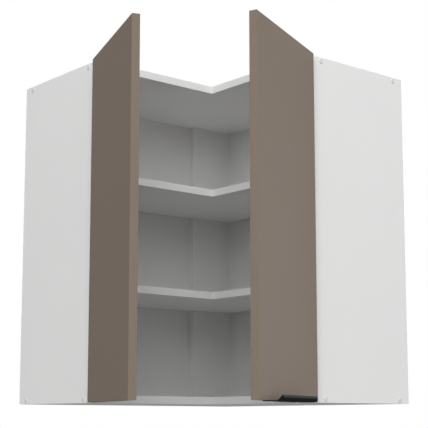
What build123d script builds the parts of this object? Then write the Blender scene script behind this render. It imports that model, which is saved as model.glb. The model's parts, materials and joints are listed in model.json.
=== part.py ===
from build123d import *
import os

os.makedirs("parts", exist_ok=True)

# A corner wall cabinet with two wings that meet at a right angle in the corner of a room.
# Origin: the room corner at the level of the cabinet's underside. The right wing runs along
# +X with its back on the wall y = 0, the left wing along -Y with its back on the wall x = 0.
# In each wing, "along" is the distance from the room corner and "out" that from the wall.

# ---- Carcass -------------------------------------------------------------------------
carcass_height = 716.0
wing_length = 600.0  # room corner to the outer face of a side
wing_depth = 288.0  # wall to the front edge of a side
board = 16.0  # laminated board of the sides, top, bottom, shelves and post
inner_corner_radius = 5.0  # where the front edges of the two wings meet
back_thickness = 3.0
back_inset = 6.0  # gap between the wall and the back panels
groove_depth = 6.0
groove_play = 0.1  # each side of a back panel in its groove
back_end_play = 1.0  # between a back panel's edge and the groove's floor
post_width = 120.0

# ---- Shelves -------------------------------------------------------------------------
shelf_count = 2
shelf_recess = 18.0  # behind the front edges of the sides
shelf_play = 0.5
pin_radius = 2.5
pin_depth = 8.0  # in the board
pin_hole_play = 0.05
pin_reach = 9.0  # under the shelf
pin_tongue_width = 8.0
pin_tongue_height = 3.0
pin_tongue_round = 2.0
pin_rib_width = 1.5
pin_front_inset = 36.0  # behind the shelf's front edge
pin_back_inset = 46.0  # in front of the back panel
peg_reach = 9.0  # of a peg in the edge of a shelf

# ---- Doors ---------------------------------------------------------------------------
door_thickness = 16.0
door_lift = 0.5  # lower edge above the carcass's underside
door_drop = 2.5  # upper edge below the carcass's top
door_gap = 2.0  # between a closed door and the carcass
door_reveal = 1.5  # a side's outer face to the edge of its closed door
left_door_width = 297.0
right_door_width = 288.0
left_door_angle = 110.0  # how far each door stands open at rest
right_door_angle = 114.0
door_edge_radius = 0.8
bumper_radius = 4.0
bumper_height = 1.7
bumper_taper = 25.0
bumper_inset = 20.0  # from the free edge of the door

# ---- Doors' turning axis, outside the front corner of the side ------------------------
axis_beyond_side = 1.5
axis_before_carcass = 4.0

# ---- Hinges --------------------------------------------------------------------------
hinge_from_end = 100.0  # hinge centre to the nearer end of the door
cup_radius = 17.4
cup_bore_play = 0.1
cup_depth = 12.4
cup_wall = 1.2
cup_bottom_bevel = 2.0
cup_from_edge = 22.5  # cup centre to the hinge edge of the door
flange_thickness = 1.2
flange_rim = 1.6  # beyond the cup
flange_length = 58.0
flange_width = 13.0
flange_corner = 5.8
flange_offset = 9.5  # screw line beyond the cup centre, away from the hinge edge
cup_screw_spacing = 45.0
cup_pin_from_centre = 4.0  # towards the hinge edge
cup_pin_depth = 6.0  # inside the door's back face
cup_pin_radius = 1.6
open_pivot_play = 0.3
hinge_pin_radius = 1.5
hinge_pin_play = 0.05
arm_pivot_from_side = 14.0
arm_pivot_behind_front = 12.0
arm_sheet = 1.5
arm_half_width = 9.0
arm_height = 18.0  # from its outer face to the free edges of its cheeks
arm_clear_of_side = 4.0
arm_length = 63.0  # from its back end to the pivot
arm_web_end = 8.0  # the web stops this far behind the pivot
arm_tip_radius = 4.0
arm_play = 0.3
lever_radius = 3.0
lever_cheek = 1.7
lever_web_share = 0.45  # of the lever's length that is solid between its cheeks
link_half_width = 5.0
link_half_thickness = 1.6
link_eye_radius = 3.4
plate_base = 2.5
plate_length = 42.0
plate_front_inset = 26.0  # behind the front edge of the side
plate_wing_length = 48.0
plate_wing_width = 16.0
plate_screw_setback = 37.0
plate_screw_spacing = 32.0
plate_rib_inset = 6.0
plate_round = 1.2

# ---- Handle --------------------------------------------------------------------------
handle_length = 167.0
handle_from_hinge = 156.0  # handle centre to the hinge edge of the right door
handle_sheet = 1.5  # flange under the door
handle_flange_inset = 1.0  # flange's edge to the door's back face
handle_reach = 27.3  # lip beyond the door's outer face
handle_rise = 10.2  # lip's tip above the door's lower edge
handle_tip_setback = 3.0  # tip behind the furthest reach
handle_tip_round = 0.5
handle_lip_angle = 48.0  # slope of the lip's inner side
handle_bend = 12.0  # between flange and lip, on the fingers' side
handle_outer_bend = 7.0
handle_screw_spacing = 128.0

# ---- Screws: radius of head, height of head, radius of shank, length under head -------
carcass_screw = (4.8, 2.0, 3.4, 48.0)
carcass_screw_setback = 28.0  # from the wall
carcass_screw_front_inset = 36.0
post_screw_inset = 30.0
cap_radius = 5.2
cap_height = 1.3
cap_bevel = 0.7
plate_screw = (3.6, 2.0, 2.2, 13.0)
cup_screw = (3.3, 1.8, 1.8, 12.0)
arm_screw = (3.6, 1.6, 1.9, 9.0)
handle_screw = (2.8, 1.2, 1.4, 14.0)
hanger_screw = (3.2, 1.6, 2.0, 16.0)
screw_play = 0.05
head_bevel_share = 0.6  # of a pan head's height that is bevelled
recess_share = 0.2  # width of a cross recess to its head's radius

# ---- Hangers -------------------------------------------------------------------------
hanger_width = 18.0
hanger_depth = 46.0
hanger_height = 62.0
hanger_round = 6.0
hook_sheet = 2.0
hook_width = 12.0
hook_below_top = 18.0  # hook under the top panel
hook_drop = 13.0
hook_from_wall = 1.5
hook_tail = 24.0  # inside the hanger
hook_play = 0.3
slot_play = 2.0
hanger_screw_spacing = 26.0

# ---- Derived places ------------------------------------------------------------------
side_inner = wing_length - board
back_front = back_inset + back_thickness  # the visible face of the back panels
post_front = back_front + board
post_edge = back_front + post_width
under_top = carcass_height - board
bay_height = (under_top - board - shelf_count * board) / (shelf_count + 1)
shelf_bottoms = [board + bay_height + n * (bay_height + board) for n in range(shelf_count)]
door_back = wing_depth + door_gap
door_height = carcass_height - door_lift - door_drop
door_edge = wing_length - door_reveal
door_middle = door_lift + door_height / 2
door_bottom = door_lift
axis_along = wing_length + axis_beyond_side
axis_out = wing_depth + axis_before_carcass
hinge_heights = {
    "lower": door_lift + hinge_from_end,
    "upper": door_lift + door_height - hinge_from_end,
}
cup_along = door_edge - cup_from_edge
cup_pin_along = cup_along + cup_pin_from_centre
cup_pin_out = door_back + cup_pin_depth
arm_along = side_inner - arm_pivot_from_side
arm_out = wing_depth - arm_pivot_behind_front
arm_web_face = side_inner - arm_clear_of_side - arm_height
cheek_inner = arm_half_width - arm_sheet
lever_half_width = cheek_inner - arm_play
# The lever copies the line from the doors' axis to the cup's pin, and the link copies
# the line from the arm's pivot to the doors' axis, so the two turn as a parallelogram.
lever_vector = (cup_pin_along - axis_along, cup_pin_out - axis_out)
link_vector = (axis_along - arm_along, axis_out - arm_out)
carcass_screw_outs = (carcass_screw_setback, wing_depth - carcass_screw_front_inset)
post_screw_ys = (-back_front - post_screw_inset, -post_edge + post_screw_inset)
hook_height = under_top - hook_below_top
hanger_front = back_front + hanger_depth

WINGS = {
    "left": (-1, left_door_angle, left_door_width),
    "right": (1, right_door_angle, right_door_width),
}


# ---- Planes --------------------------------------------------------------------------
def at(hand, along, out, height):
    """A point of a wing in the cabinet's own frame."""
    return (along, -out, height) if hand > 0 else (out, -along, height)


def plan(hand, along, out, height, turn=0.0):
    """View from above or below with x along the wing and y out of it, turned as a door."""
    x_dir = Vector(*at(hand, 1, 0, 0)).rotate(Axis.Z, hand * turn)
    return Plane(at(hand, along, out, height), x_dir=x_dir, z_dir=(0, 0, -hand))


def end_view(hand, along):
    """A side seen from its end: x out from the wall, z along the wing, y = -hand is up."""
    return Plane(at(hand, along, 0, 0), x_dir=at(hand, 0, 1, 0), z_dir=at(hand, 1, 0, 0))


def door_plan(hand, angle, height=door_middle):
    """Plan view that turns with the door; its origin lies on the doors' axis."""
    return plan(hand, axis_along, axis_out, height, angle)


def door_back_plane(hand, angle, along, height):
    """On the back face of a door, z out of that face, x towards the door's free edge."""
    view = door_plan(hand, angle, height)
    origin = view.from_local_coords((along - axis_along, door_back - axis_out, 0))
    back_normal = view.y_dir * -1
    return Plane(origin, x_dir=view.x_dir * -1, z_dir=back_normal)


def finish(piece, label):
    """Name a finished piece and write its file."""
    piece.part.label = label
    export_step(piece.part, f"parts/{label}.step")


# ---- Repeated forms ------------------------------------------------------------------
def screw(sizes, play=0.0):
    """A countersunk screw on z, its head flush with z = 0; with play, the hole for it."""
    head_radius, head_height, shank_radius, length = sizes
    with BuildPart() as body:
        with BuildSketch(Plane.XZ):
            with BuildLine():
                Polyline(
                    (0, play),
                    (head_radius + play, play),
                    (head_radius + play, -head_height / 2),
                    (shank_radius + play, -head_height / 2 - (head_radius - shank_radius)),
                    (shank_radius + play, -length + shank_radius),
                    (0, -length - play),
                    close=True,
                )
            make_face()
        revolve(axis=Axis.Z)
    return body.part


def pan_screw(sizes, play=0.0):
    """A screw whose bevelled head stands on z = 0; with play, the hole for its shank."""
    head_radius, head_height, shank_radius, length = sizes
    with BuildPart() as body:
        with BuildSketch(Plane.XY):
            Circle(shank_radius + play)
        extrude(amount=-length - play)
        if not play:
            with BuildSketch(Plane.XY):
                Circle(head_radius)
            extrude(amount=head_height)
            rim = body.faces().sort_by(Axis.Z)[-1].edges()
            chamfer(rim, head_height * head_bevel_share)
            with BuildSketch(Plane.XY.offset(head_height)):
                Rectangle(head_radius, head_radius * recess_share)
                Rectangle(head_radius * recess_share, head_radius)
            extrude(amount=-head_height * head_bevel_share, mode=Mode.SUBTRACT)
    return body.part


def place(shape, plane, points):
    """Copies of a shape that stands on Plane.XY, at the given local points of a plane."""
    return [plane.location * Pos(*point) * shape for point in points]


def l_sketch(near, length, depth):
    """Outline of an L-shaped board: both wings, with a rounded inner corner."""
    with BuildSketch() as outline:
        with Locations((near, -near)):
            Rectangle(length - near, depth - near, align=(Align.MIN, Align.MAX))
            Rectangle(depth - near, length - near, align=(Align.MIN, Align.MAX))
        corner = outline.vertices().sort_by_distance((depth, -depth))[0]
        fillet(corner, inner_corner_radius)
    return outline.sketch


def groove_sketch(reach):
    """The grooves of both back panels, seen from above."""
    low, high = back_inset - groove_play, back_front + groove_play
    with BuildSketch() as grooves:
        with Locations((low, -low)):
            Rectangle(reach - low, high - low, align=(Align.MIN, Align.MAX))
            Rectangle(high - low, reach - low, align=(Align.MIN, Align.MAX))
    return grooves.sketch


carcass_screw_body = screw(carcass_screw)
carcass_screw_hole = screw(carcass_screw, screw_play)


def side_screw_points(hand):
    """Screw places on the outer face of a side, in its end view."""
    heights = (board / 2, carcass_height - board / 2)
    return [(out, -hand * z, 0) for out in carcass_screw_outs for z in heights]


def post_screw_planes():
    """Planes of the post's screws: down through the top and up through the bottom."""
    x = back_front + board / 2
    ends = ((carcass_height, (0, 0, 1)), (0, (0, 0, -1)))
    return [Plane((x, y, z), z_dir=n) for y in post_screw_ys for z, n in ends]


# ---- Top and bottom ------------------------------------------------------------------
for label, low, groove_low in (("top_panel", under_top, under_top), ("bottom_panel", 0, board)):
    groove_side = 1 if label == "top_panel" else -1
    with BuildPart() as panel:
        with BuildSketch(Plane.XY.offset(low)):
            add(l_sketch(0, side_inner, wing_depth))
        extrude(amount=board)
        with BuildSketch(Plane.XY.offset(groove_low)):
            add(groove_sketch(side_inner))
        extrude(amount=groove_side * groove_depth, mode=Mode.SUBTRACT)
        for hand in (-1, 1):
            view = end_view(hand, wing_length)
            add(place(carcass_screw_hole, view, side_screw_points(hand)), mode=Mode.SUBTRACT)
        for view in post_screw_planes():
            add(place(carcass_screw_hole, view, [(0, 0)]), mode=Mode.SUBTRACT)
    finish(panel, label)

# ---- Sides ---------------------------------------------------------------------------
pin_outs = (back_front + pin_back_inset, wing_depth - shelf_recess - pin_front_inset)
for name, (hand, angle, width) in WINGS.items():
    outside = end_view(hand, wing_length)
    inside = end_view(hand, side_inner)
    with BuildPart() as side:
        with BuildSketch(outside):
            with Locations((wing_depth / 2, -hand * carcass_height / 2)):
                Rectangle(wing_depth, carcass_height)
        extrude(amount=-board)
        with BuildSketch(inside):
            groove_middle = back_inset + back_thickness / 2
            with Locations((groove_middle, -hand * carcass_height / 2)):
                Rectangle(back_thickness + 2 * groove_play, carcass_height)
        extrude(amount=groove_depth, mode=Mode.SUBTRACT)
        add(place(carcass_screw_hole, outside, side_screw_points(hand)), mode=Mode.SUBTRACT)
        pin_points = [
            (out, -hand * (bottom - pin_radius)) for out in pin_outs for bottom in shelf_bottoms
        ]
        with BuildSketch(inside):
            with Locations(*pin_points):
                Circle(pin_radius + pin_hole_play)
        extrude(amount=pin_depth + pin_hole_play, mode=Mode.SUBTRACT)
        screw_points = [
            (wing_depth - plate_screw_setback, -hand * (height + step * plate_screw_spacing / 2))
            for height in hinge_heights.values()
            for step in (-1, 1)
        ]
        with BuildSketch(inside):
            with Locations(*screw_points):
                Circle(plate_screw[2] + screw_play)
        extrude(amount=plate_screw[3] - plate_base + screw_play, mode=Mode.SUBTRACT)
    finish(side, f"{name}_side")

# ---- Corner post ---------------------------------------------------------------------
post_peg_y = -(back_front + post_edge) / 2
post_peg_points = [(post_peg_y, bottom + board / 2) for bottom in shelf_bottoms]
with BuildPart() as corner_post:
    with BuildSketch(Plane.XY.offset(board)):
        with Locations((back_front, -back_front)):
            Rectangle(board, post_width, align=(Align.MIN, Align.MAX))
    extrude(amount=under_top - board)
    for view in post_screw_planes():
        add(place(carcass_screw_hole, view, [(0, 0)]), mode=Mode.SUBTRACT)
    with BuildSketch(Plane.YZ.offset(post_front)):
        with Locations(*post_peg_points):
            Circle(pin_radius + pin_hole_play)
    extrude(amount=-pin_depth - pin_hole_play, mode=Mode.SUBTRACT)
finish(corner_post, "corner_post")

# ---- Back panels, with a slot for each hanger's hook ----------------------------------
panel_end = side_inner + groove_depth - back_end_play
panel_low = board - groove_depth + back_end_play
panel_high = under_top + groove_depth - back_end_play
hanger_along = side_inner - hanger_width / 2
# The left panel runs behind the end of the right one in the corner.
for name, start in (("left", back_inset), ("right", back_front + groove_play)):
    hand = WINGS[name][0]
    with BuildPart() as back:
        with BuildSketch(plan(hand, 0, 0, (panel_low + panel_high) / 2)):
            with Locations((start, back_inset)):
                Rectangle(panel_end - start, back_thickness, align=(Align.MIN, Align.MIN))
        extrude(amount=(panel_high - panel_low) / 2, both=True)
        with BuildSketch(plan(hand, hanger_along, back_inset, hook_height - hook_drop / 2)):
            Rectangle(hook_width + 2 * slot_play, 3 * back_thickness)
        extrude(amount=hook_drop / 2 + slot_play, both=True, mode=Mode.SUBTRACT)
    finish(back, f"{name}_back_panel")

# ---- Shelves -------------------------------------------------------------------------
shelf_depth = wing_depth - shelf_recess
for label, bottom in zip(("lower_shelf", "upper_shelf"), shelf_bottoms):
    with BuildPart() as shelf:
        with BuildSketch(Plane.XY.offset(bottom)):
            add(l_sketch(back_front + shelf_play, side_inner - shelf_play, shelf_depth))
            Rectangle(
                post_front + shelf_play,
                post_edge + shelf_play,
                align=(Align.MIN, Align.MAX),
                mode=Mode.SUBTRACT,
            )
        extrude(amount=board)
        with BuildSketch(Plane.YZ.offset(post_front)):
            with Locations(*post_peg_points):
                Circle(pin_radius + pin_hole_play)
        extrude(amount=peg_reach + pin_hole_play, mode=Mode.SUBTRACT)
    finish(shelf, label)


# ---- Shelf pins: a peg in the board and a flat tongue under the shelf ------------------
def shelf_pin():
    """A pin on z, its tongue towards +z and its flat top at y = pin_radius."""
    with BuildPart() as pin:
        with BuildSketch(Plane.XY):
            Circle(pin_radius)
        extrude(amount=-pin_depth)
        with BuildSketch(Plane.XY):
            with Locations((0, pin_radius)):
                Rectangle(pin_tongue_width, pin_tongue_height, align=(Align.CENTER, Align.MAX))
        extrude(amount=pin_reach)
        fillet(pin.edges().filter_by(Axis.Y).group_by(Axis.Z)[-1], pin_tongue_round)
        with BuildSketch(Plane.XY):
            with Locations((0, pin_radius - pin_tongue_height)):
                Rectangle(pin_rib_width, pin_tongue_height, align=(Align.CENTER, Align.MAX))
        extrude(amount=pin_reach / 2)
    return pin.part


shelf_pin_body = shelf_pin()
for label, bottom in zip(("lower_shelf_pins", "upper_shelf_pins"), shelf_bottoms):
    pin_height = bottom - pin_radius
    with BuildPart() as pins:
        for hand in (-1, 1):
            inward = at(hand, -1, 0, 0)
            level = Vector(0, 0, 1).cross(Vector(*inward))
            for out in pin_outs:
                spot = Plane(at(hand, side_inner, out, pin_height), x_dir=level, z_dir=inward)
                add(place(shelf_pin_body, spot, [(0, 0)]))
    finish(pins, label)

# ---- Pegs that join the shelves to the post, hidden in the edge of each shelf -----------
with BuildPart() as shelf_pegs:
    with BuildSketch(Plane.YZ.offset(post_front - pin_depth)):
        with Locations(*post_peg_points):
            Circle(pin_radius)
    extrude(amount=pin_depth + peg_reach)
finish(shelf_pegs, "shelf_pegs")

# ---- Carcass screws and their caps -----------------------------------------------------
with BuildPart() as carcass_screws:
    for hand in (-1, 1):
        view = end_view(hand, wing_length)
        add(place(carcass_screw_body, view, side_screw_points(hand)))
    for view in post_screw_planes():
        add(place(carcass_screw_body, view, [(0, 0)]))
finish(carcass_screws, "carcass_screws")

with BuildPart() as cap:
    with BuildSketch(Plane.XY):
        Circle(cap_radius)
    extrude(amount=cap_height)
    chamfer(cap.faces().sort_by(Axis.Z)[-1].edges(), cap_bevel)

with BuildPart() as screw_caps:
    for hand in (-1, 1):
        add(place(cap.part, end_view(hand, wing_length), side_screw_points(hand)))
finish(screw_caps, "screw_caps")


# ---- Doors -----------------------------------------------------------------------------
def hinge_flange():
    """Outline of a cup's flange: a disc over the cup and a bar with the screw holes."""
    with BuildSketch() as outline:
        Circle(cup_radius + flange_rim)
        with Locations((flange_offset, 0)):
            RectangleRounded(flange_width, flange_length, flange_corner)
    return outline.sketch


cup_screw_points = [
    (flange_offset, step * cup_screw_spacing / 2, flange_thickness) for step in (-1, 1)
]
cup_screw_hole = pan_screw(cup_screw, screw_play)
handle_screw_hole = pan_screw(handle_screw, screw_play)
handle_along = door_edge - handle_from_hinge


def handle_screw_plane(step):
    """Under the handle's flange, below the middle of the right door's lower edge."""
    view = door_plan(1, right_door_angle, door_bottom - handle_sheet)
    local_x = handle_along + step * handle_screw_spacing / 2 - axis_along
    middle = door_back + door_thickness / 2 - axis_out
    return Plane(view.from_local_coords((local_x, middle, 0)), z_dir=(0, 0, -1))


for name, (hand, angle, width) in WINGS.items():
    with BuildPart() as door:
        with BuildSketch(door_plan(hand, angle)):
            with Locations((door_edge - axis_along, door_back - axis_out)):
                Rectangle(width, door_thickness, align=(Align.MAX, Align.MIN))
        extrude(amount=door_height / 2, both=True)
        outer_face = door.faces().sort_by(Axis((0, 0, 0), door_plan(hand, angle).y_dir))[-1]
        fillet(outer_face.edges(), door_edge_radius)
        for height in hinge_heights.values():
            spot = door_back_plane(hand, angle, cup_along, height)
            with BuildSketch(spot):
                Circle(cup_radius + cup_bore_play)
            extrude(amount=-cup_depth - cup_bore_play, mode=Mode.SUBTRACT)
            add(place(cup_screw_hole, spot, cup_screw_points), mode=Mode.SUBTRACT)
        if name == "right":
            for step in (-1, 1):
                view = handle_screw_plane(step)
                add(place(handle_screw_hole, view, [(0, 0)]), mode=Mode.SUBTRACT)
    finish(door, f"{name}_door")

    with BuildPart() as cup_screws:
        for height in hinge_heights.values():
            spot = door_back_plane(hand, angle, cup_along, height)
            add(place(pan_screw(cup_screw), spot, cup_screw_points))
    finish(cup_screws, f"{name}_cup_screws")

    free_edge = door_edge - width
    with BuildPart() as bumpers:
        for height in (board / 2, carcass_height - board / 2):
            with BuildSketch(door_back_plane(hand, angle, free_edge + bumper_inset, height)):
                Circle(bumper_radius)
            extrude(amount=bumper_height, taper=bumper_taper)
    finish(bumpers, f"{name}_door_bumpers")

# ---- Handle: a profile under the lower edge of the right door, with a raised lip ---------
handle_view = door_plan(1, right_door_angle, door_bottom)
out_dir = handle_view.y_dir
handle_end = handle_view.from_local_coords(
    (handle_along + handle_length / 2 - axis_along, door_back + door_thickness - axis_out, 0)
)
section = Plane(handle_end, x_dir=out_dir, z_dir=out_dir.cross(Vector(0, 0, 1)))
flange_back = handle_flange_inset - door_thickness
lip_tip = Vector(handle_reach - handle_tip_setback, handle_rise)
facet_foot = (handle_reach, handle_outer_bend - handle_sheet)
# The bend starts where the straight side of the lip, met by the arc, runs out at its tip.
lip_slope = Vector(1, 0).rotate(Axis.Z, handle_lip_angle)
bend_rise = handle_bend * (1 - lip_slope.X)
lip_straight = (handle_rise - bend_rise) / lip_slope.Y
bend_start = lip_tip.X - lip_straight * lip_slope.X - handle_bend * lip_slope.Y
with BuildPart() as handle:
    with BuildSketch(section) as profile:
        with BuildLine():
            flange_top = Line((flange_back, 0), (bend_start, 0))
            bend = JernArc(flange_top @ 1, flange_top % 1, handle_bend, handle_lip_angle)
            Line(bend @ 1, lip_tip)
            Line(lip_tip, facet_foot)
            outer = JernArc(facet_foot, (0, -1), handle_outer_bend, -90)
            Line(outer @ 1, (flange_back, -handle_sheet))
            Line((flange_back, -handle_sheet), (flange_back, 0))
        make_face()
        fillet(profile.vertices().sort_by(Axis.Y)[-1], handle_tip_round)
    extrude(amount=handle_length)
    for step in (-1, 1):
        add(place(handle_screw_hole, handle_screw_plane(step), [(0, 0)]), mode=Mode.SUBTRACT)
finish(handle, "handle")

with BuildPart() as handle_screws:
    for step in (-1, 1):
        add(place(pan_screw(handle_screw), handle_screw_plane(step), [(0, 0)]))
finish(handle_screws, "handle_screws")

# ---- Hinges ----------------------------------------------------------------------------
arm_back_out = arm_out - arm_length
plate_front_out = wing_depth - plate_front_inset
plate_middle_out = plate_front_out - plate_length / 2
rib_back = plate_front_out - plate_length + plate_rib_inset
rib_front = plate_front_out - plate_rib_inset
rib_depth = side_inner - plate_base - arm_web_face - arm_sheet
arm_screw_outs = (rib_back + plate_rib_inset, rib_front - plate_rib_inset)
arm_straight = arm_length - arm_web_end - arm_tip_radius
lever_web_end = (lever_vector[0] * lever_web_share, lever_vector[1] * lever_web_share)
cup_pin_half_length = ((cup_radius - cup_wall / 2) ** 2 - cup_pin_from_centre**2) ** 0.5


def panel_face(hand, height):
    """On the inner face of a side at a hinge's height, x out of the wall."""
    origin = at(hand, side_inner, 0, height)
    return Plane(origin, x_dir=at(hand, 0, 1, 0), z_dir=at(hand, -1, 0, 0))


def web_plane(hand, height):
    """On the outer face of an arm's web, z towards the middle of the wing."""
    origin = at(hand, arm_web_face, 0, height)
    return Plane(origin, x_dir=at(hand, 0, 1, 0), z_dir=at(hand, -1, 0, 0))


def along_edges(piece, hand):
    """The edges of a piece that run along its wing."""
    return piece.edges().filter_by(Axis((0, 0, 0), end_view(hand, 0).z_dir))


arm_screw_hole = pan_screw(arm_screw, screw_play)
arm_screw_points = [(out, 0) for out in arm_screw_outs]
plate_screw_points = [
    (wing_depth - plate_screw_setback, step * plate_screw_spacing / 2, plate_base)
    for step in (-1, 1)
]
plate_screw_hole = pan_screw(plate_screw, screw_play)
for name, (hand, angle, width) in WINGS.items():
    for level, height in hinge_heights.items():
        hinge = f"{name}_{level}_hinge"
        fixed = plan(hand, 0, 0, height)
        web = web_plane(hand, height)
        side_face = panel_face(hand, height)

        with BuildPart() as plate:
            with BuildSketch(side_face):
                with Locations((plate_middle_out, 0)):
                    Rectangle(plate_length, 2 * arm_half_width)
                with Locations((wing_depth - plate_screw_setback, 0)):
                    Rectangle(plate_wing_width, plate_wing_length)
            extrude(amount=plate_base)
            fillet(along_edges(plate, hand), plate_round)
            with BuildSketch(fixed):
                with Locations((arm_web_face + arm_sheet, rib_back)):
                    Rectangle(rib_depth, rib_front - rib_back, align=(Align.MIN, Align.MIN))
            extrude(amount=lever_half_width, both=True)
            add(place(arm_screw_hole, web, arm_screw_points), mode=Mode.SUBTRACT)
            add(place(plate_screw_hole, side_face, plate_screw_points), mode=Mode.SUBTRACT)
        finish(plate, f"{hinge}_plate")

        with BuildPart() as arm:
            with BuildSketch(fixed):
                with Locations((arm_along, arm_out)):
                    Circle(arm_tip_radius)
                with Locations((arm_web_face, arm_back_out)):
                    Rectangle(arm_height, arm_straight, align=(Align.MIN, Align.MIN))
                make_hull()
            extrude(amount=arm_half_width, both=True)
            with BuildSketch(fixed):
                with Locations((arm_web_face + arm_sheet, arm_back_out - arm_sheet)):
                    Rectangle(2 * arm_height, 2 * arm_length, align=(Align.MIN, Align.MIN))
                with Locations((0, arm_out - arm_web_end)):
                    Rectangle(2 * wing_length, arm_length, align=(Align.CENTER, Align.MIN))
            extrude(amount=cheek_inner, both=True, mode=Mode.SUBTRACT)
            with BuildSketch(fixed):
                with Locations((arm_along, arm_out)):
                    Circle(hinge_pin_radius)
            extrude(amount=arm_half_width, both=True)
            add(place(arm_screw_hole, web, arm_screw_points), mode=Mode.SUBTRACT)
        finish(arm, f"{hinge}_arm")

        # The lever turns with the door about the arm's pivot: a barrel, two cheeks, a pin.
        with BuildPart() as lever:
            turned = plan(hand, arm_along, arm_out, height, angle)
            with BuildSketch(turned):
                with BuildLine():
                    Line((0, 0), lever_vector)
                    offset(amount=lever_radius, side=Side.BOTH)
                make_face()
            extrude(amount=lever_half_width, both=True)
            with BuildSketch(turned):
                with BuildLine():
                    Line(lever_web_end, (2 * lever_vector[0], 2 * lever_vector[1]))
                    offset(amount=2 * lever_radius, side=Side.BOTH)
                make_face()
            extrude(amount=lever_half_width - lever_cheek, both=True, mode=Mode.SUBTRACT)
            with BuildSketch(turned):
                with Locations(lever_vector):
                    Circle(hinge_pin_radius)
            extrude(amount=lever_half_width, both=True)
            with BuildSketch(turned):
                Circle(hinge_pin_radius + hinge_pin_play)
            extrude(amount=lever_half_width, both=True, mode=Mode.SUBTRACT)
        finish(lever, f"{hinge}_lever")

        # The link keeps its direction and carries the cup's pin at its far end.
        joint = turned.from_local_coords((*lever_vector, 0))
        with BuildPart() as link:
            steady = Plane(joint, x_dir=fixed.x_dir, z_dir=fixed.z_dir)
            with BuildSketch(steady):
                with BuildLine():
                    Line((0, 0), link_vector)
                    offset(amount=link_half_thickness, side=Side.BOTH)
                make_face()
                Circle(lever_radius)
                with Locations(link_vector):
                    Circle(link_eye_radius)
                Circle(hinge_pin_radius + hinge_pin_play, mode=Mode.SUBTRACT)
                with Locations(link_vector):
                    Circle(cup_pin_radius + open_pivot_play, mode=Mode.SUBTRACT)
            extrude(amount=link_half_width, both=True)
        finish(link, f"{hinge}_link")

        with BuildPart() as cup:
            mouth = door_back_plane(hand, angle, cup_along, height)
            with BuildSketch(mouth):
                add(hinge_flange())
            extrude(amount=flange_thickness)
            with BuildSketch(mouth):
                Circle(cup_radius)
            extrude(amount=-cup_depth)
            bottom_face = cup.faces().sort_by(Axis((0, 0, 0), mouth.z_dir))[0]
            chamfer(bottom_face.edges(), cup_bottom_bevel)
            with BuildSketch(mouth.offset(flange_thickness)):
                Circle(cup_radius - cup_wall)
            extrude(amount=-flange_thickness - cup_depth + cup_wall, mode=Mode.SUBTRACT)
            with BuildSketch(door_plan(hand, angle, height)):
                with Locations(lever_vector):
                    Circle(cup_pin_radius)
            extrude(amount=cup_pin_half_length, both=True)
            add(place(cup_screw_hole, mouth, cup_screw_points), mode=Mode.SUBTRACT)
        finish(cup, f"{hinge}_cup")

with BuildPart() as plate_screws:
    for name, (hand, angle, width) in WINGS.items():
        for height in hinge_heights.values():
            add(place(pan_screw(plate_screw), panel_face(hand, height), plate_screw_points))
finish(plate_screws, "plate_screws")

with BuildPart() as arm_screws:
    for name, (hand, angle, width) in WINGS.items():
        for height in hinge_heights.values():
            add(place(pan_screw(arm_screw), web_plane(hand, height), arm_screw_points))
finish(arm_screws, "arm_screws")

# ---- Hangers: a housing in the top back corner of each wing, with its steel hook ----------
hanger_screw_hole = pan_screw(hanger_screw, screw_play)
for name, (hand, angle, width) in WINGS.items():
    middle = under_top - hanger_height / 2
    view = plan(hand, side_inner, back_front, middle)
    front_view = Plane(
        at(hand, hanger_along, hanger_front, middle),
        x_dir=(0, 0, 1),
        z_dir=at(hand, 0, 1, 0),
    )
    screw_points = [(-step * hanger_screw_spacing / 2, 0) for step in (-1, 1)]
    hook_view = plan(hand, hanger_along, hook_from_wall, hook_height)

    with BuildPart() as housing:
        with BuildSketch(view):
            Rectangle(hanger_width, hanger_depth, align=(Align.MAX, Align.MIN))
        extrude(amount=hanger_height / 2, both=True)
        front_face = housing.faces().sort_by(Axis((0, 0, 0), at(hand, 0, 1, 0)))[-1]
        fillet(along_edges(front_face, hand), hanger_round)
        with BuildSketch(hook_view):
            with Locations((0, back_front - hook_from_wall)):
                Rectangle(
                    hook_width + 2 * hook_play,
                    hook_tail + hook_play,
                    align=(Align.CENTER, Align.MIN),
                )
        extrude(amount=hook_sheet / 2 + hook_play, both=True, mode=Mode.SUBTRACT)
        add(place(hanger_screw_hole, front_view, screw_points), mode=Mode.SUBTRACT)
    finish(housing, f"{name}_hanger")

    with BuildPart() as hook:
        with BuildSketch(hook_view):
            Rectangle(
                hook_width,
                back_front - hook_from_wall + hook_tail,
                align=(Align.CENTER, Align.MIN),
            )
        extrude(amount=hook_sheet / 2, both=True)
        with BuildSketch(hook_view):
            Rectangle(hook_width, hook_sheet, align=(Align.CENTER, Align.MIN))
        extrude(amount=hand * hook_drop)
    finish(hook, f"{name}_hanger_hook")

    with BuildPart() as hanger_screws:
        add(place(pan_screw(hanger_screw), front_view, screw_points))
    finish(hanger_screws, f"{name}_hanger_screws")
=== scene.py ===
"""Finishes, edge banding and a plain stage for a corner wall cabinet."""

import json
import math

import bmesh
import bpy
from bpy.props import FloatProperty, FloatVectorProperty, PointerProperty
from mathutils import Matrix, Vector


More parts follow.
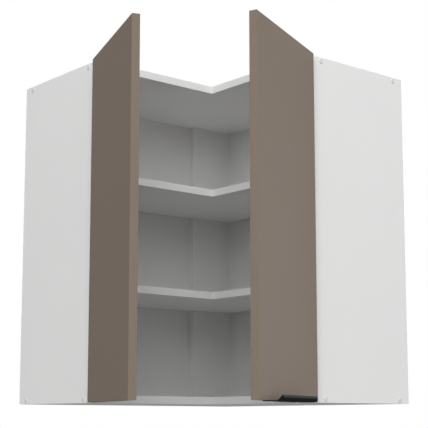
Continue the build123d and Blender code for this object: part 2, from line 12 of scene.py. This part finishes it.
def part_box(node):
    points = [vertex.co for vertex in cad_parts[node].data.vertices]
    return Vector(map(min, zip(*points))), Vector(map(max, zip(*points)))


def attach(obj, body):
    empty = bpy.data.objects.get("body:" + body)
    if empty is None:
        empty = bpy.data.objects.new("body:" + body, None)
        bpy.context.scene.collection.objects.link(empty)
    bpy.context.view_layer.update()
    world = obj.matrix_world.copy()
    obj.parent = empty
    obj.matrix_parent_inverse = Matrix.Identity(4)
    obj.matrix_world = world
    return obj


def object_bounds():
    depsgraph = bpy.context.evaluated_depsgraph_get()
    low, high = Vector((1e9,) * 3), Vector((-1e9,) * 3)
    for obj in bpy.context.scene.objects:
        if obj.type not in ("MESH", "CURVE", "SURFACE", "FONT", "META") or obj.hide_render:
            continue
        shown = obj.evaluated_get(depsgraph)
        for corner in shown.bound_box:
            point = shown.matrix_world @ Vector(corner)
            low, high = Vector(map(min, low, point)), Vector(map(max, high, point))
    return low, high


bl_info = {
    "name": "Corner wall cabinet",
    "version": (1, 0, 0),
    "blender": (4, 5, 0),
    "location": "3D View > Sidebar > Cabinet",
    "description": "Finishes, edge banding and a plain stage for a corner wall cabinet",
    "category": "Object",
}

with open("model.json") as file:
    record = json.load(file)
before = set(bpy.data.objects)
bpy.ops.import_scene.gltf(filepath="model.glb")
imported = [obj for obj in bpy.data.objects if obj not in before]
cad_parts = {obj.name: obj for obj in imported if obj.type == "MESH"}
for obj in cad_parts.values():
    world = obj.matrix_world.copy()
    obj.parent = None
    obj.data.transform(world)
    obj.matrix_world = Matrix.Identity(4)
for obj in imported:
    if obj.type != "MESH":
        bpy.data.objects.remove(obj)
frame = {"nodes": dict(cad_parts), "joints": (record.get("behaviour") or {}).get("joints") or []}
cad_low, cad_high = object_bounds()

MM = 0.001

# The cabinet's own places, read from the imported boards. The room corner is the origin;
# "out" is the distance from the nearer wall, which is the smaller of x and -y.
side_low, side_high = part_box("right_side")
CARCASS_OUT = -side_low.y
SIDE_INNER = side_low.x
SIDE_OUTER = side_high.x
CARCASS_TOP = side_high.z
JOINTS = {joint["name"]: joint for joint in frame["joints"]}

# A point this close to a face lies on it, for the patterns.
FACE_SKIN = 0.2 * MM
# Half the width of the fine line round the back face of a door.
HALF_LINE = 0.12 * MM
# Edges that turn by more than this are rounded.
SHARP_EDGE = math.radians(60)
# Steps of the bend at the inner corner and of the rounded edges.
BEND_SEGMENTS = 10
ROUND_SEGMENTS = 2
# Width of the camera's sensor in millimetres.
SENSOR_WIDTH = 36.0
# How far the floor reaches from the origin, and how far the camera sees, in metres.
FLOOR_REACH = 60.0
CAMERA_REACH = 200.0
WHITE = (1, 1, 1, 1)


def open_angle(door):
    """How far a door stands open at rest."""
    return math.radians(-JOINTS[f"{door}_door_hinge"]["range_deg"][0])


# A door's faces lie along X and Y once the door is turned by this angle about Z.
DOOR_TURNS = {"left": open_angle("left"), "right": -open_angle("right")}


def colour(name, description, default):
    """A colour that a user would change."""
    return FloatVectorProperty(
        name=name,
        description=description,
        default=default,
        subtype="COLOR",
        size=3,
        min=0.0,
        max=1.0,
    )


def length(name, description, default):
    """A length in metres."""
    return FloatProperty(name=name, description=description, default=default, unit="LENGTH")


class CabinetSizes(bpy.types.PropertyGroup):
    """Sizes of the edge banding and of the fronts that it covers."""

    band_thickness: length("Band thickness", "Thickness of the front edge banding", 0.25 * MM)
    band_round: length("Band rounding", "Rounding of the band's long edges", 0.1 * MM)
    glue_line: length("Glue line", "Width of the dark line beside a band", 0.25 * MM)
    door_band: length("Door band", "From a door's edge to the fine line in its back", 1.0 * MM)
    shelf_recess: length("Shelf recess", "Shelf front behind the carcass front", 18 * MM)
    inner_corner: length("Inner corner", "Radius where the two front edges meet", 5 * MM)


class CabinetColours(bpy.types.PropertyGroup):
    """Base colours of the finishes."""

    laminate: colour("Laminate", "Faces of the white boards", (0.90, 0.90, 0.895))
    band: colour("White band", "Edge banding of the white boards", (0.86, 0.86, 0.855))
    glue: colour("Glue", "Line of glue beside a band", (0.45, 0.43, 0.40))
    chip_light: colour("Chips, light", "Pale chips of a raw board edge", (0.56, 0.42, 0.27))
    chip_dark: colour("Chips, dark", "Dark chips of a raw board edge", (0.27, 0.17, 0.09))
    lacquer: colour("Back lacquer", "Inner face of the back panels", (0.90, 0.90, 0.895))
    fibre: colour("Raw fibre", "Wall side of the back panels", (0.30, 0.19, 0.11))
    door_film: colour("Door film", "Matt film of the doors", (0.245, 0.197, 0.159))
    nickel: colour("Nickel", "Plating of the hinges", (0.66, 0.64, 0.60))
    zinc: colour("Zinc", "Plating of screws, pins and hooks", (0.60, 0.62, 0.64))
    handle: colour("Handle", "Matt black of the pull", (0.0125, 0.013, 0.0135))
    # Painted highlight on the upward faces of the pull.
    pull_highlight: colour("Pull highlight", "Upper faces of the pull", (0.050, 0.051, 0.052))
    moulding: colour("Moulding", "White plastic of hangers and caps", (0.78, 0.78, 0.77))
    bumper: colour("Bumper", "Soft clear dots on the doors", (0.70, 0.70, 0.68))


class CabinetStage(bpy.types.PropertyGroup):
    """Camera, lamps and floor."""

    camera_spot: FloatVectorProperty(
        name="Camera spot",
        description="Where the camera stands",
        default=(2.248, -1.929, -0.036),
        subtype="TRANSLATION",
    )
    camera_heading: FloatProperty(
        name="Camera heading",
        description="Direction of view, from +X towards +Y",
        default=math.radians(139.96),
        subtype="ANGLE",
    )
    camera_pitch: FloatProperty(
        name="Camera pitch",
        description="Upward tilt of the view",
        default=math.radians(8.37),
        subtype="ANGLE",
    )
    camera_rise: FloatProperty(
        name="Camera rise",
        description="Upward shift of the lens, as a share of the picture",
        default=0.085,
    )
    lens: FloatProperty(
        name="Lens",
        description="Focal length in millimetres on a 36 mm sensor",
        default=97.52,
    )
    floor_drop: length("Floor drop", "Floor under the cabinet's underside", 1.4)
    floor_shade: FloatProperty(
        name="Floor shade", description="Share of the light that the floor gives back", default=0.26
    )
    floor_glow: FloatProperty(
        name="Floor glow", description="White added where the floor is looked at", default=0.86
    )
    sky: FloatProperty(name="Sky", description="Strength of the even light", default=0.49)
    right_lamp: FloatProperty(
        name="Right lamp", description="Power of the lamp on the right", default=293.0
    )
    front_lamp: FloatProperty(
        name="Front lamp", description="Power of the lamp in front", default=343.0
    )
    high_lamp: FloatProperty(
        name="High lamp", description="Power of the lamp high in front", default=141.0
    )


# ---- Node helpers ---------------------------------------------------------------------
class Finish:
    """A material being built: its tree, its main shader and its Object coordinates."""

    def __init__(self, name, gloss=0.5, metallic=0.0):
        self.material = bpy.data.materials.new(name)
        self.material.use_nodes = True
        self.tree = self.material.node_tree
        self.tree.nodes.clear()
        output = self.add("ShaderNodeOutputMaterial")
        self.shader = self.add("ShaderNodeBsdfPrincipled")
        self.join(self.shader.outputs["BSDF"], output.inputs["Surface"])
        self.shader.inputs["Specular IOR Level"].default_value = gloss
        self.shader.inputs["Metallic"].default_value = metallic
        self.place = self.add("ShaderNodeTexCoord").outputs["Object"]

    def add(self, kind, **settings):
        """A new node with these settings."""
        node = self.tree.nodes.new(kind)
        for setting, value in settings.items():
            setattr(node, setting, value)
        return node

    def join(self, source, target):
        """Link a socket to a socket, or write a plain value into it."""
        if isinstance(source, bpy.types.NodeSocket):
            self.tree.links.new(source, target)
        else:
            target.default_value = source

    def turned(self, turn=0.0, scale=(1, 1, 1)):
        """The place turned about Z and stretched."""
        mapping = self.add("ShaderNodeMapping")
        self.join(self.place, mapping.inputs["Vector"])
        mapping.inputs["Rotation"].default_value = (0, 0, turn)
        mapping.inputs["Scale"].default_value = scale
        return mapping.outputs["Vector"]

    def noise(self, scale, detail, place=None):
        """Cloudy noise between 0 and 1."""
        node = self.add("ShaderNodeTexNoise")
        self.join(place or self.place, node.inputs["Vector"])
        node.inputs["Scale"].default_value = scale
        node.inputs["Detail"].default_value = detail
        return node.outputs["Fac"]

    def chips(self, scale):
        """A shade for each chip of a cell pattern."""
        node = self.add("ShaderNodeTexVoronoi", feature="F1")
        self.join(self.place, node.inputs["Vector"])
        node.inputs["Scale"].default_value = scale
        split = self.add("ShaderNodeSeparateColor")
        self.join(node.outputs["Color"], split.inputs["Color"])
        return split.outputs["Red"]

    def calc(self, operation, first, second=0.0, third=0.0):
        """The result of a Math node."""
        node = self.add("ShaderNodeMath", operation=operation)
        for value, socket in zip((first, second, third), node.inputs):
            self.join(value, socket)
        return node.outputs["Value"]

    def between(self, value, start, end):
        """A value from 0 to 1 spread from start to end."""
        node = self.add("ShaderNodeMapRange")
        self.join(value, node.inputs["Value"])
        node.inputs["To Min"].default_value = start
        node.inputs["To Max"].default_value = end
        return node.outputs["Result"]

    def mix(self, share, first, second):
        """A colour between two colours."""
        node = self.add("ShaderNodeMix", data_type="RGBA")
        self.join(share, node.inputs["Factor"])
        sockets = [s for s in node.inputs if s.type == "RGBA"]
        for value, socket in zip((first, second), sockets):
            self.join(value, socket)
        return next(s for s in node.outputs if s.type == "RGBA")

    def shades(self, base, spread, share):
        """A base colour that varies a little, lighter and darker."""
        low = (*(c * (1 - spread) for c in base), 1)
        high = (*(min(1.0, c * (1 + spread)) for c in base), 1)
        return self.mix(share, low, high)

    def relief(self, height, depth, strength):
        """Small bumps, of a depth in metres."""
        node = self.add("ShaderNodeBump")
        self.join(height, node.inputs["Height"])
        node.inputs["Distance"].default_value = depth
        node.inputs["Strength"].default_value = strength
        self.join(node.outputs["Normal"], self.shader.inputs["Normal"])

    def coat(self, colour, roughness):
        """Set the colour and roughness of the surface."""
        self.join(colour, self.shader.inputs["Base Color"])
        self.join(roughness, self.shader.inputs["Roughness"])

    def out_from_wall(self):
        """Distance from the nearer wall: the smaller of x and -y."""
        split = self.add("ShaderNodeSeparateXYZ")
        self.join(self.place, split.inputs["Vector"])
        from_left_wall = split.outputs["X"]
        from_right_wall = self.calc("MULTIPLY", split.outputs["Y"], -1)
        return self.calc("MINIMUM", from_left_wall, from_right_wall)


def darker(base, share):
    """A colour that gives back only this share of a base colour's light."""
    return (*(c * share for c in base), 1)


# ---- Finishes -------------------------------------------------------------------------
def raw_chips(finish, colours):
    """The colour of a raw chipboard edge: coarse chips with fine dust between them."""
    coarse = finish.chips(scale=420)
    dust = finish.noise(scale=1600, detail=4)
    share = finish.calc("MULTIPLY_ADD", dust, 0.5, finish.calc("MULTIPLY", coarse, 0.5))
    return finish.mix(share, (*colours.chip_dark, 1), (*colours.chip_light, 1))


def laminated_board(name, front):
    """White melamine with a fine pearl; raw chips on the edge that faces the wall."""
    colours = bpy.context.scene.cabinet_colours
    sizes = bpy.context.scene.cabinet_sizes
    finish = Finish(name, gloss=0.08)
    pearl = finish.noise(scale=1500, detail=4)
    cloud = finish.noise(scale=7, detail=2)
    white = finish.shades(colours.laminate, spread=0.012, share=cloud)
    out = finish.out_from_wall()
    in_glue = finish.calc("GREATER_THAN", out, front - sizes.glue_line)
    glued = finish.mix(in_glue, white, (*colours.glue, 1))
    at_wall = finish.calc("LESS_THAN", out, FACE_SKIN)
    smooth = finish.between(pearl, start=0.80, end=0.92)
    raw_roughness = 0.85
    finish.coat(
        colour=finish.mix(at_wall, glued, raw_chips(finish, colours)),
        roughness=finish.calc("MAXIMUM", smooth, finish.calc("MULTIPLY", at_wall, raw_roughness)),
    )
    crumbs = finish.noise(scale=700, detail=5)
    grain = finish.calc("MULTIPLY_ADD", at_wall, crumbs, pearl)
    finish.relief(grain, depth=0.03 * MM, strength=0.35)
    return finish.material


def white_band():
    """Plastic edge banding, with painted shade where it bends round the inner corner."""
    colours = bpy.context.scene.cabinet_colours
    sizes = bpy.context.scene.cabinet_sizes
    finish = Finish("white_band", gloss=0.1)
    # In the middle of the bend x and -y are equal.
    place = finish.add("ShaderNodeSeparateXYZ")
    finish.join(finish.place, place.inputs["Vector"])
    aside = finish.calc("ABSOLUTE", finish.calc("ADD", place.outputs["X"], place.outputs["Y"]))
    away = finish.calc("DIVIDE", aside, max(sizes.inner_corner, MM))
    # Painted shade: the band gets darker towards the middle of the bend, to damp the light that the
    # round catches.
    corner_shade = finish.between(away, start=1, end=0)
    cloud = finish.noise(scale=9, detail=2)
    white = finish.shades(colours.band, spread=0.01, share=cloud)
    pearl = finish.noise(scale=900, detail=3)
    finish.coat(
        colour=finish.mix(corner_shade, white, darker(colours.band, 0.82)),
        roughness=finish.between(pearl, start=0.72, end=0.84),
    )
    finish.relief(finish.noise(scale=1800, detail=3), depth=0.02 * MM, strength=0.25)
    return finish.material


def back_board():
    """Thin fibreboard: lacquered white towards the room, raw and brown towards the wall."""
    colours = bpy.context.scene.cabinet_colours
    finish = Finish("back_board", gloss=0.1)
    low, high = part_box("right_back_panel")
    middle = -(low.y + high.y) / 2
    raw = finish.calc("LESS_THAN", finish.out_from_wall(), middle)
    cloud = finish.noise(scale=6, detail=2)
    white = finish.shades(colours.lacquer, spread=0.012, share=cloud)
    fibres = finish.noise(scale=1.0, detail=5, place=finish.turned(scale=(900, 900, 260)))
    patches = finish.noise(scale=16, detail=5)
    mottled = finish.calc("MULTIPLY_ADD", patches, 0.6, finish.calc("MULTIPLY", fibres, 0.4))
    pulp = finish.shades(colours.fibre, spread=0.30, share=mottled)
    flecks = finish.calc("GREATER_THAN", finish.noise(scale=150, detail=4), 0.62)
    fleck_share = finish.calc("MULTIPLY", flecks, 0.35)
    brown = finish.mix(fleck_share, pulp, (*colours.chip_dark, 1))
    smooth = finish.between(finish.noise(scale=1300, detail=3), start=0.42, end=0.52)
    raw_roughness = 0.82
    finish.coat(
        colour=finish.mix(raw, white, brown),
        roughness=finish.calc("MAXIMUM", smooth, finish.calc("MULTIPLY", raw, raw_roughness)),
    )
    finish.relief(fibres, depth=0.03 * MM, strength=0.3)
    return finish.material


def turned_box(node, turn):
    """Lowest and highest corner of a node once it is turned about Z."""
    spin = Matrix.Rotation(turn, 3, "Z")
    points = [spin @ vertex.co for vertex in frame["nodes"][node].data.vertices]
    low = Vector([min(p[axis] for p in points) for axis in range(3)])
    high = Vector([max(p[axis] for p in points) for axis in range(3)])
    return low, high


def door_film(door):
    """Matt film with a soft touch; it ends in a fine line round the back face."""
    colours = bpy.context.scene.cabinet_colours
    sizes = bpy.context.scene.cabinet_sizes
    finish = Finish(f"{door}_door_film", gloss=0.03)
    turn = DOOR_TURNS[door]
    low, high = turned_box(f"{door}_door", turn)
    place = finish.add("ShaderNodeSeparateXYZ")
    finish.join(finish.turned(turn), place.inputs["Vector"])
    # The two long axes of the face are its width and its height.
    wide, thick = (0, 1) if high.x - low.x > high.y - low.y else (1, 0)
    insets = []
    for axis in (wide, 2):
        centre = (low[axis] + high[axis]) / 2
        half = (high[axis] - low[axis]) / 2
        away = finish.calc("ABSOLUTE", finish.calc("SUBTRACT", place.outputs[axis], centre))
        insets.append(finish.calc("SUBTRACT", half, away))
    inset = finish.calc("MINIMUM", *insets)
    back_face = high[thick] if door == "right" else low[thick]
    at_back = finish.calc("COMPARE", place.outputs[thick], back_face, FACE_SKIN)
    edge_line = finish.calc("COMPARE", inset, sizes.door_band, HALF_LINE)
    seam = finish.calc("MULTIPLY", edge_line, at_back)
    cloud = finish.noise(scale=5, detail=2)
    film = finish.shades(colours.door_film, spread=0.015, share=cloud)
    touch = finish.noise(scale=2200, detail=3)
    finish.coat(
        colour=finish.mix(seam, film, darker(colours.door_film, 0.55)),
        roughness=finish.between(touch, start=0.58, end=0.72),
    )
    # The seam lies deeper than the film's own texture.
    grooved = finish.calc("SUBTRACT", touch, finish.calc("MULTIPLY", seam, 2))
    finish.relief(grooved, depth=0.02 * MM, strength=0.3)
    return finish.material


def plated_steel(name, base, roughness, streaks):
    """Plated steel with faint rolling marks."""
    finish = Finish(name, metallic=1.0)
    rolled = finish.noise(scale=1.0, detail=3, place=finish.turned(scale=streaks))
    cloud = finish.noise(scale=60, detail=3)
    finish.coat(
        colour=finish.shades(base, spread=0.06, share=cloud),
        roughness=finish.between(rolled, start=roughness - 0.06, end=roughness + 0.08),
    )
    finish.relief(rolled, depth=0.01 * MM, strength=0.2)
    return finish.material


def black_pull():
    """Matt black anodised profile, with drawing marks along its length."""
    colours = bpy.context.scene.cabinet_colours
    finish = Finish("black_pull", gloss=0.01)
    stretched = finish.turned(DOOR_TURNS["right"], scale=(30, 2500, 2500))
    along = finish.noise(scale=1.0, detail=4, place=stretched)
    # The faces that look up are a shade lighter: a painted highlight, as if lit from above.
    normal = finish.add("ShaderNodeSeparateXYZ")
    finish.join(finish.add("ShaderNodeNewGeometry").outputs["Normal"], normal.inputs["Vector"])
    upward = finish.add("ShaderNodeMapRange", interpolation_type="SMOOTHSTEP")
    finish.join(normal.outputs["Z"], upward.inputs["Value"])
    upward.inputs["From Min"].default_value = 0.2
    upward.inputs["From Max"].default_value = 0.55
    matt = finish.shades(colours.handle, spread=0.2, share=along)
    pull_highlight = finish.shades(colours.pull_highlight, spread=0.1, share=along)
    finish.coat(
        colour=finish.mix(upward.outputs["Result"], matt, pull_highlight),
        roughness=finish.between(along, start=0.76, end=0.90),
    )
    finish.relief(along, depth=0.01 * MM, strength=0.3)
    return finish.material


def moulded_plastic(name, base, roughness):
    """Moulded plastic with a fine spark texture."""
    finish = Finish(name, gloss=0.15)
    spark = finish.noise(scale=1800, detail=4)
    cloud = finish.noise(scale=40, detail=2)
    finish.coat(
        colour=finish.shades(base, spread=0.02, share=cloud),
        roughness=finish.between(spark, start=roughness - 0.06, end=roughness + 0.06),
    )
    finish.relief(spark, depth=0.03 * MM, strength=0.3)
    return finish.material


def soft_dots():
    """Clear soft plastic of the door bumpers."""
    colours = bpy.context.scene.cabinet_colours
    finish = Finish("soft_dots")
    finish.shader.inputs["Transmission Weight"].default_value = 0.5
    finish.shader.inputs["IOR"].default_value = 1.45
    cloud = finish.noise(scale=300, detail=2)
    finish.coat(
        colour=finish.shades(colours.bumper, spread=0.03, share=cloud),
        roughness=finish.between(finish.noise(scale=900, detail=2), start=0.25, end=0.38),
    )
    return finish.material


def dress(material, *nodes):
    """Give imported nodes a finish."""
    for name in nodes:
        node = frame["nodes"][name]
        if not node.material_slots:
            node.data.materials.append(material)
        for slot in node.material_slots:
            slot.material = material


# ---- New pieces -----------------------------------------------------------------------
def finish_piece(name, shape, material, body):
    """Turn a bmesh into a piece that rides on a body."""
    bmesh.ops.recalc_face_normals(shape, faces=shape.faces)
    mesh = bpy.data.meshes.new(name)
    shape.to_mesh(mesh)
    shape.free()
    piece = bpy.data.objects.new(name, mesh)
    bpy.context.scene.collection.objects.link(piece)
    mesh.materials.append(material)
    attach(piece, body)
    return piece


def banding(name, route, material, corner, low, high):
    """Edge banding along a route of points in plan, from one height to another."""
    sizes = bpy.context.scene.cabinet_sizes
    shape = bmesh.new()
    points = [shape.verts.new((*point, low)) for point in route]
    for first, second in zip(points, points[1:]):
        shape.edges.new((first, second))
    if corner:
        bmesh.ops.bevel(
            shape,
            geom=points[1:-1],
            offset=corner,
            segments=BEND_SEGMENTS,
            profile=0.5,
            affect="VERTICES",
            material=-1,
        )
    risen = bmesh.ops.extrude_edge_only(shape, edges=shape.edges)
    lifted = [g for g in risen["geom"] if isinstance(g, bmesh.types.BMVert)]
    bmesh.ops.translate(shape, verts=lifted, vec=(0, 0, high - low))
    bmesh.ops.recalc_face_normals(shape, faces=shape.faces)
    # The strip thickens away from the board, whose front looks towards +x and -y.
    outward = sum((face.normal for face in shape.faces), Vector())
    if outward.x - outward.y < 0:
        bmesh.ops.reverse_faces(shape, faces=shape.faces)
    bmesh.ops.solidify(shape, geom=shape.faces, thickness=-sizes.band_thickness)
    long_edges = [
        edge
        for edge in shape.edges
        if len(edge.link_faces) == 2 and edge.calc_face_angle(0) > SHARP_EDGE
    ]
    bmesh.ops.bevel(
        shape,
        geom=long_edges,
        offset=sizes.band_round,
        segments=ROUND_SEGMENTS,
        profile=0.5,
        affect="EDGES",
        material=-1,
    )
    return finish_piece(name, shape, material, "carcass")


# ---- Operators ------------------------------------------------------------------------
class CABINET_OT_boards(bpy.types.Operator):
    """Give the carcass boards and shelves their white laminate"""

    bl_idname = "cabinet.boards"
    bl_label = "Carcass boards"

    def execute(self, context):
        recess = context.scene.cabinet_sizes.shelf_recess
        carcass = laminated_board("white_laminate", CARCASS_OUT)
        dress(carcass, "top_panel", "bottom_panel", "left_side", "right_side", "corner_post")
        shelves = laminated_board("shelf_laminate", CARCASS_OUT - recess)
        dress(shelves, "lower_shelf", "upper_shelf")
        return {"FINISHED"}


class CABINET_OT_bands(bpy.types.Operator):
    """Model the white banding on the front edges of the boards"""

    bl_idname = "cabinet.bands"
    bl_label = "Edge banding"

    def execute(self, context):
        sizes = context.scene.cabinet_sizes
        plastic = white_band()
        for hand, start, end in (
            ("right", (SIDE_INNER, -CARCASS_OUT), (SIDE_OUTER, -CARCASS_OUT)),
            ("left", (CARCASS_OUT, -SIDE_INNER), (CARCASS_OUT, -SIDE_OUTER)),
        ):
            name = f"{hand}_side_band"
            banding(name, (start, end), plastic, corner=0, low=0, high=CARCASS_TOP)
        for board in ("top_panel", "bottom_panel", "lower_shelf", "upper_shelf"):
            low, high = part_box(board)
            recess = sizes.shelf_recess if "shelf" in board else 0.0
            out = CARCASS_OUT - recess
            route = ((out, low.y), (out, -out), (high.x, -out))
            name = f"{board}_band"
            banding(name, route, plastic, corner=sizes.inner_corner, low=low.z, high=high.z)
        return {"FINISHED"}


class CABINET_OT_backs(bpy.types.Operator):
    """Give the back panels their lacquered and raw faces"""

    bl_idname = "cabinet.backs"
    bl_label = "Back panels"

    def execute(self, context):
        dress(back_board(), "left_back_panel", "right_back_panel")
        return {"FINISHED"}


class CABINET_OT_doors(bpy.types.Operator):
    """Give the doors their matt film and their bumpers"""

    bl_idname = "cabinet.doors"
    bl_label = "Doors"

    def execute(self, context):
        dots = soft_dots()
        for door in DOOR_TURNS:
            dress(door_film(door), f"{door}_door")
            dress(dots, f"{door}_door_bumpers")
        return {"FINISHED"}


class CABINET_OT_pull(bpy.types.Operator):
    """Give the pull its matt black finish"""

    bl_idname = "cabinet.pull"
    bl_label = "Pull"

    def execute(self, context):
        dress(black_pull(), "handle")
        return {"FINISHED"}


class CABINET_OT_hinges(bpy.types.Operator):
    """Give the hinges their nickel plating"""

    bl_idname = "cabinet.hinges"
    bl_label = "Hinges"

    def execute(self, context):
        colours = context.scene.cabinet_colours
        pressed = plated_steel(
            "pressed_nickel", colours.nickel, roughness=0.28, streaks=(400, 400, 2400)
        )
        turned = plated_steel(
            "turned_nickel", colours.nickel, roughness=0.22, streaks=(900, 900, 900)
        )
        for node in frame["nodes"]:
            if node.endswith(("_plate", "_arm", "_cup")):
                dress(pressed, node)
            elif node.endswith(("_lever", "_link")):
                dress(turned, node)
        return {"FINISHED"}


class CABINET_OT_fittings(bpy.types.Operator):
    """Give hangers, pins, screws and caps their finishes"""

    bl_idname = "cabinet.fittings"
    bl_label = "Fittings"

    def execute(self, context):
        colours = context.scene.cabinet_colours
        zinc = plated_steel(
            "zinc_plate", colours.zinc, roughness=0.34, streaks=(1200, 1200, 1200)
        )
        housing = moulded_plastic("hanger_moulding", colours.moulding, roughness=0.55)
        cap = moulded_plastic("cap_moulding", colours.moulding, roughness=0.80)
        for node in frame["nodes"]:
            if node.endswith(("_screws", "_pins", "_pegs", "_hook")):
                dress(zinc, node)
            elif node.endswith("_hanger"):
                dress(housing, node)
        dress(cap, "screw_caps")
        return {"FINISHED"}


class CABINET_OT_stage(bpy.types.Operator):
    """Set up the pale floor, the white surroundings, the lamps and the camera"""

    bl_idname = "cabinet.stage"
    bl_label = "Stage"

    def execute(self, context):
        stage = context.scene.cabinet_stage
        white_surroundings(context.scene, stage)
        pale_floor(stage)
        centre = (cad_low + cad_high) / 2
        soft_lamp("right_lamp", centre, stage.right_lamp, heading=90, height=4, size=3.4)
        soft_lamp("front_lamp", centre, stage.front_lamp, heading=-45, height=25, size=5.2)
        soft_lamp("high_lamp", centre, stage.high_lamp, heading=-25, height=50, size=5.2)
        photograph_camera(context.scene, stage)
        context.scene.view_settings.view_transform = "Standard"
        return {"FINISHED"}


def seen_share(tree):
    """1 for rays that look at the stage itself, in a mirror or through glass too."""
    path = tree.nodes.new("ShaderNodeLightPath")
    total = path.outputs["Is Camera Ray"]
    for ray in ("Is Glossy Ray", "Is Transmission Ray"):
        joined = tree.nodes.new("ShaderNodeMath")
        joined.operation = "MAXIMUM"
        tree.links.new(total, joined.inputs[0])
        tree.links.new(path.outputs[ray], joined.inputs[1])
        total = joined.outputs["Value"]
    return total


def white_surroundings(scene, stage):
    """A world that looks white and gives a weaker, even light."""
    world = bpy.data.worlds.new("white_surroundings")
    scene.world = world
    world.use_nodes = True
    tree = world.node_tree
    tree.nodes.clear()
    output = tree.nodes.new("ShaderNodeOutputWorld")
    mixed = tree.nodes.new("ShaderNodeMixShader")
    tree.links.new(seen_share(tree), mixed.inputs["Fac"])
    for strength, socket in ((stage.sky, mixed.inputs[1]), (1.0, mixed.inputs[2])):
        light = tree.nodes.new("ShaderNodeBackground")
        light.inputs["Color"].default_value = WHITE
        light.inputs["Strength"].default_value = strength
        tree.links.new(light.outputs["Background"], socket)
    tree.links.new(mixed.outputs["Shader"], output.inputs["Surface"])


def pale_floor(stage):
    """A wide pale floor that keeps the cabinet's shadow."""
    shape = bmesh.new()
    bmesh.ops.create_grid(shape, x_segments=2, y_segments=2, size=FLOOR_REACH)
    bmesh.ops.translate(shape, verts=shape.verts, vec=(0, 0, -stage.floor_drop))
    mesh = bpy.data.meshes.new("floor")
    shape.to_mesh(mesh)
    shape.free()
    floor = bpy.data.objects.new("floor", mesh)
    bpy.context.scene.collection.objects.link(floor)
    finish = Finish("pale_floor")
    cloud = finish.noise(scale=3, detail=2)
    grey = (stage.floor_shade,) * 3
    finish.coat(colour=finish.shades(grey, spread=0.005, share=cloud), roughness=0.9)
    glow = finish.calc("MULTIPLY", seen_share(finish.tree), stage.floor_glow)
    finish.shader.inputs["Emission Color"].default_value = WHITE
    finish.join(glow, finish.shader.inputs["Emission Strength"])
    mesh.materials.append(finish.material)


def soft_lamp(name, centre, power, heading, height, size, distance=8.0):
    """A large square lamp that looks at the cabinet from a heading and a height in degrees."""
    turn, rise = math.radians(heading), math.radians(height)
    away = Vector(
        (math.cos(rise) * math.cos(turn), math.cos(rise) * math.sin(turn), math.sin(rise))
    )
    light = bpy.data.lights.new(name, "AREA")
    light.shape = "SQUARE"
    light.size = size
    light.energy = power
    lamp = bpy.data.objects.new(name, light)
    bpy.context.scene.collection.objects.link(lamp)
    lamp.location = centre + away * distance
    lamp.rotation_euler = away.to_track_quat("Z", "Y").to_euler()


def photograph_camera(scene, stage):
    """The camera, low in front of the corner and tilted up."""
    camera = bpy.data.cameras.new("camera")
    camera.lens = stage.lens
    camera.sensor_width = SENSOR_WIDTH
    camera.shift_y = stage.camera_rise
    camera.clip_end = CAMERA_REACH
    view = bpy.data.objects.new("camera", camera)
    scene.collection.objects.link(view)
    view.location = stage.camera_spot
    level = math.pi / 2
    view.rotation_euler = (level + stage.camera_pitch, 0, stage.camera_heading - level)
    scene.camera = view


PIECES = (
    CABINET_OT_boards,
    CABINET_OT_bands,
    CABINET_OT_backs,
    CABINET_OT_doors,
    CABINET_OT_pull,
    CABINET_OT_hinges,
    CABINET_OT_fittings,
    CABINET_OT_stage,
)


class CABINET_PT_panel(bpy.types.Panel):
    """The cabinet's pieces, colours and stage"""

    bl_idname = "CABINET_PT_panel"
    bl_label = "Corner wall cabinet"
    bl_space_type = "VIEW_3D"
    bl_region_type = "UI"
    bl_category = "Cabinet"

    def draw(self, context):
        for group in ("cabinet_sizes", "cabinet_colours", "cabinet_stage"):
            values = getattr(context.scene, group)
            box = self.layout.box()
            for name in values.bl_rna.properties.keys():
                if name not in ("rna_type", "name"):
                    box.prop(values, name)
        for piece in PIECES:
            self.layout.operator(piece.bl_idname)


GROUPS = {
    "cabinet_sizes": CabinetSizes,
    "cabinet_colours": CabinetColours,
    "cabinet_stage": CabinetStage,
}


def register():
    """Register the groups, the operators and the panel."""
    for name, group in GROUPS.items():
        bpy.utils.register_class(group)
        setattr(bpy.types.Scene, name, PointerProperty(type=group))
    for piece in PIECES:
        bpy.utils.register_class(piece)
    bpy.utils.register_class(CABINET_PT_panel)


def unregister():
    """Unregister the panel, the operators and the groups."""
    bpy.utils.unregister_class(CABINET_PT_panel)
    for piece in reversed(PIECES):
        bpy.utils.unregister_class(piece)
    for name, group in GROUPS.items():
        delattr(bpy.types.Scene, name)
        bpy.utils.unregister_class(group)


def main():
    """Build every piece and the stage."""
    register()
    for piece in PIECES:
        area, operator = piece.bl_idname.split(".")
        getattr(getattr(bpy.ops, area), operator)()


if __name__ == "__main__":
    main()
